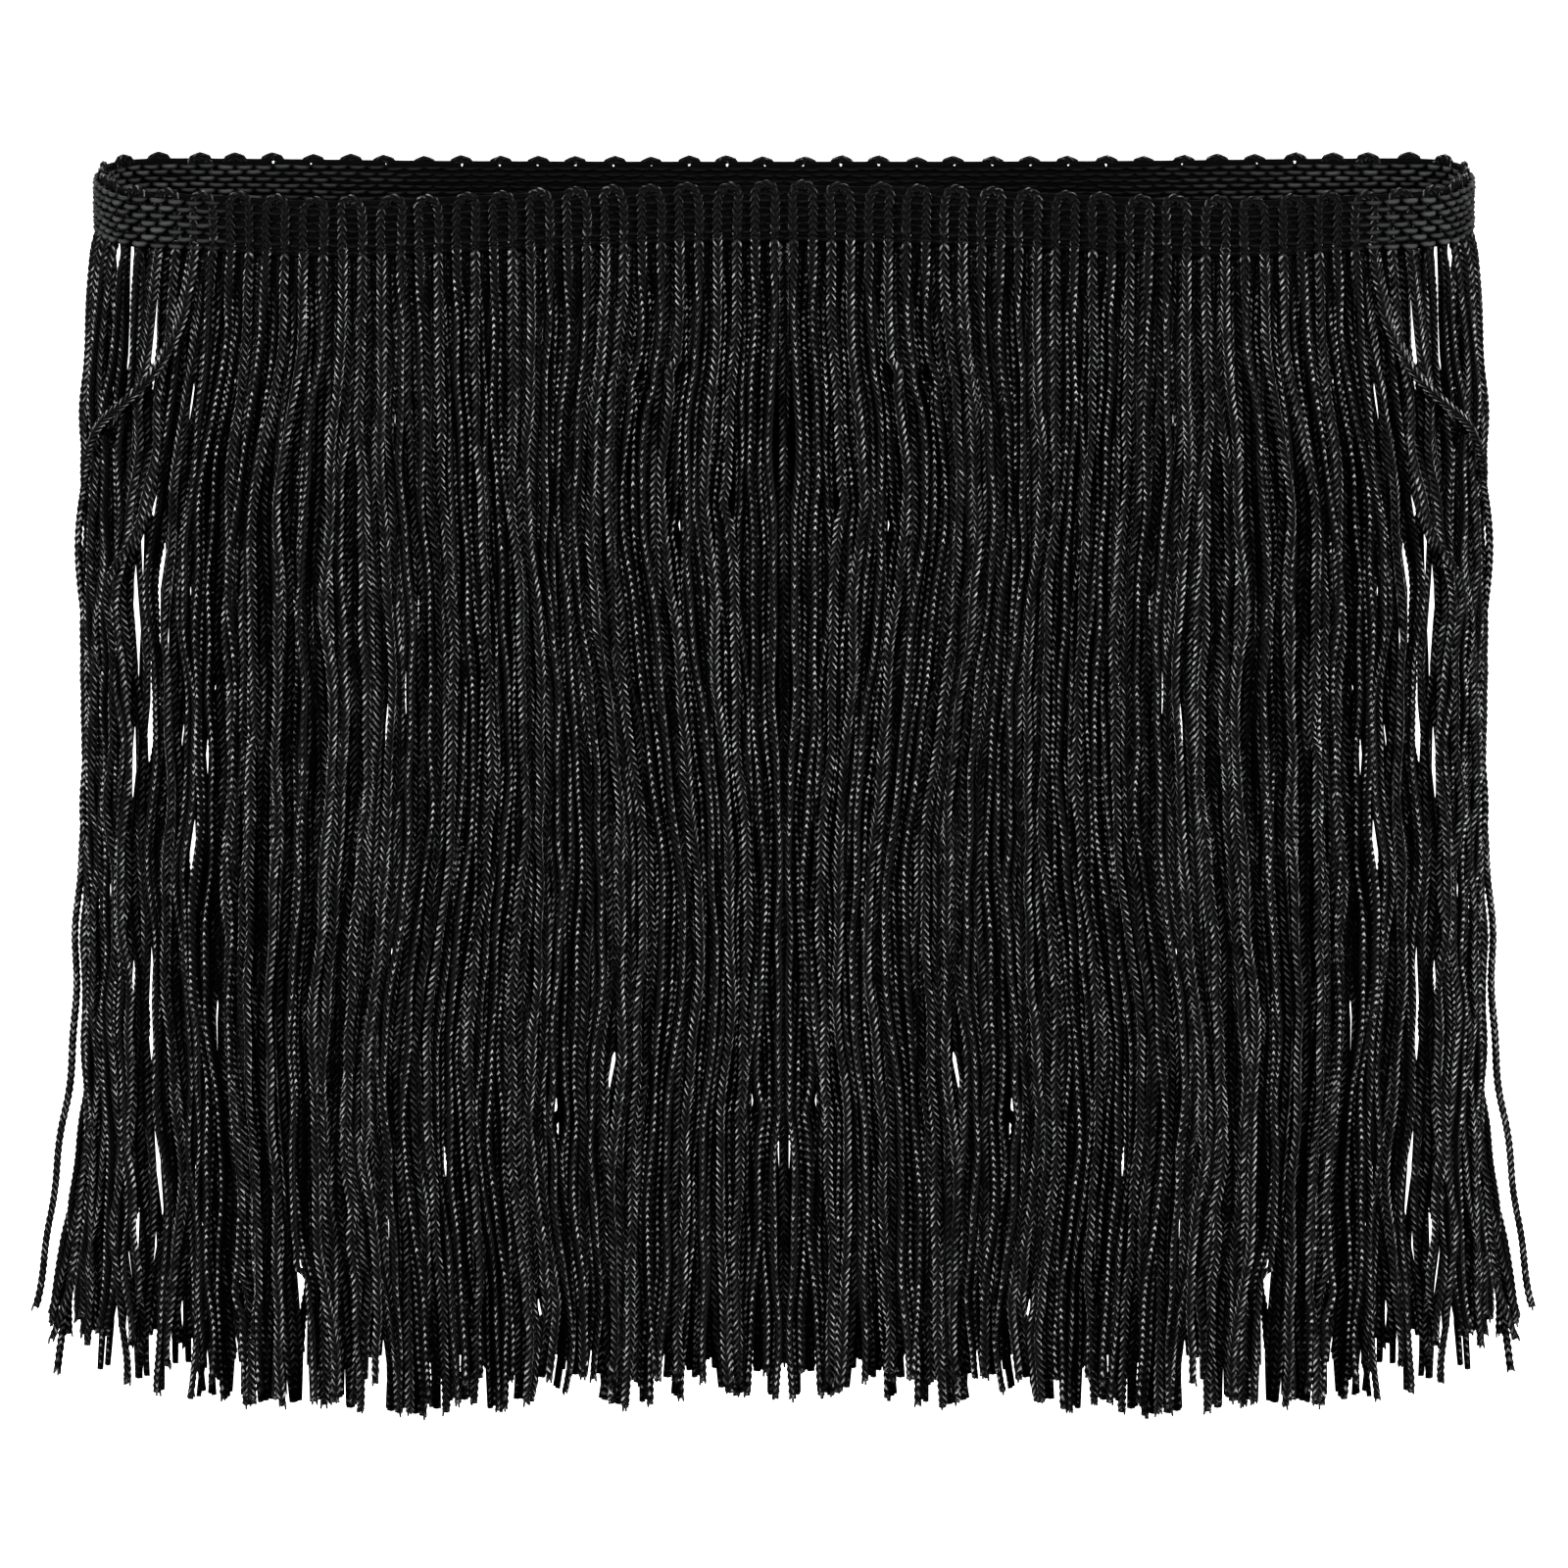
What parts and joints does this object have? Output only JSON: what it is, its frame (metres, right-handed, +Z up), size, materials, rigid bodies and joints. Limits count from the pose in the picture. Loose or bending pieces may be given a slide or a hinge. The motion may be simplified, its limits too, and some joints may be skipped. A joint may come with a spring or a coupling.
{
  "type": "tassel fringe trim",
  "caption": "Chainette tassel fringe: a narrow looped heading closed into a flattened ring, with knitted strands hanging from it all round.",
  "frame": {"origin": "middle of the heading's top edge at the back of the ring, level with the tops of the loops", "axes": "+Z up; the strands hang towards -Z; +X along the ring's long side; the front of the ring is towards -Y"},
  "size_m": [0.244, 0.045, 0.2035],
  "materials": {
    "heading_yarn": "matt black crochet-knitted yarn",
    "chainette": "black rayon chainette with a soft sheen"
  },
  "bodies": {
    "root": {"heading": "heading_yarn", "fringe_front": "chainette", "fringe_back": "chainette", "fringe_end_left": "chainette", "fringe_end_right": "chainette"}
  },
  "joints": []
}
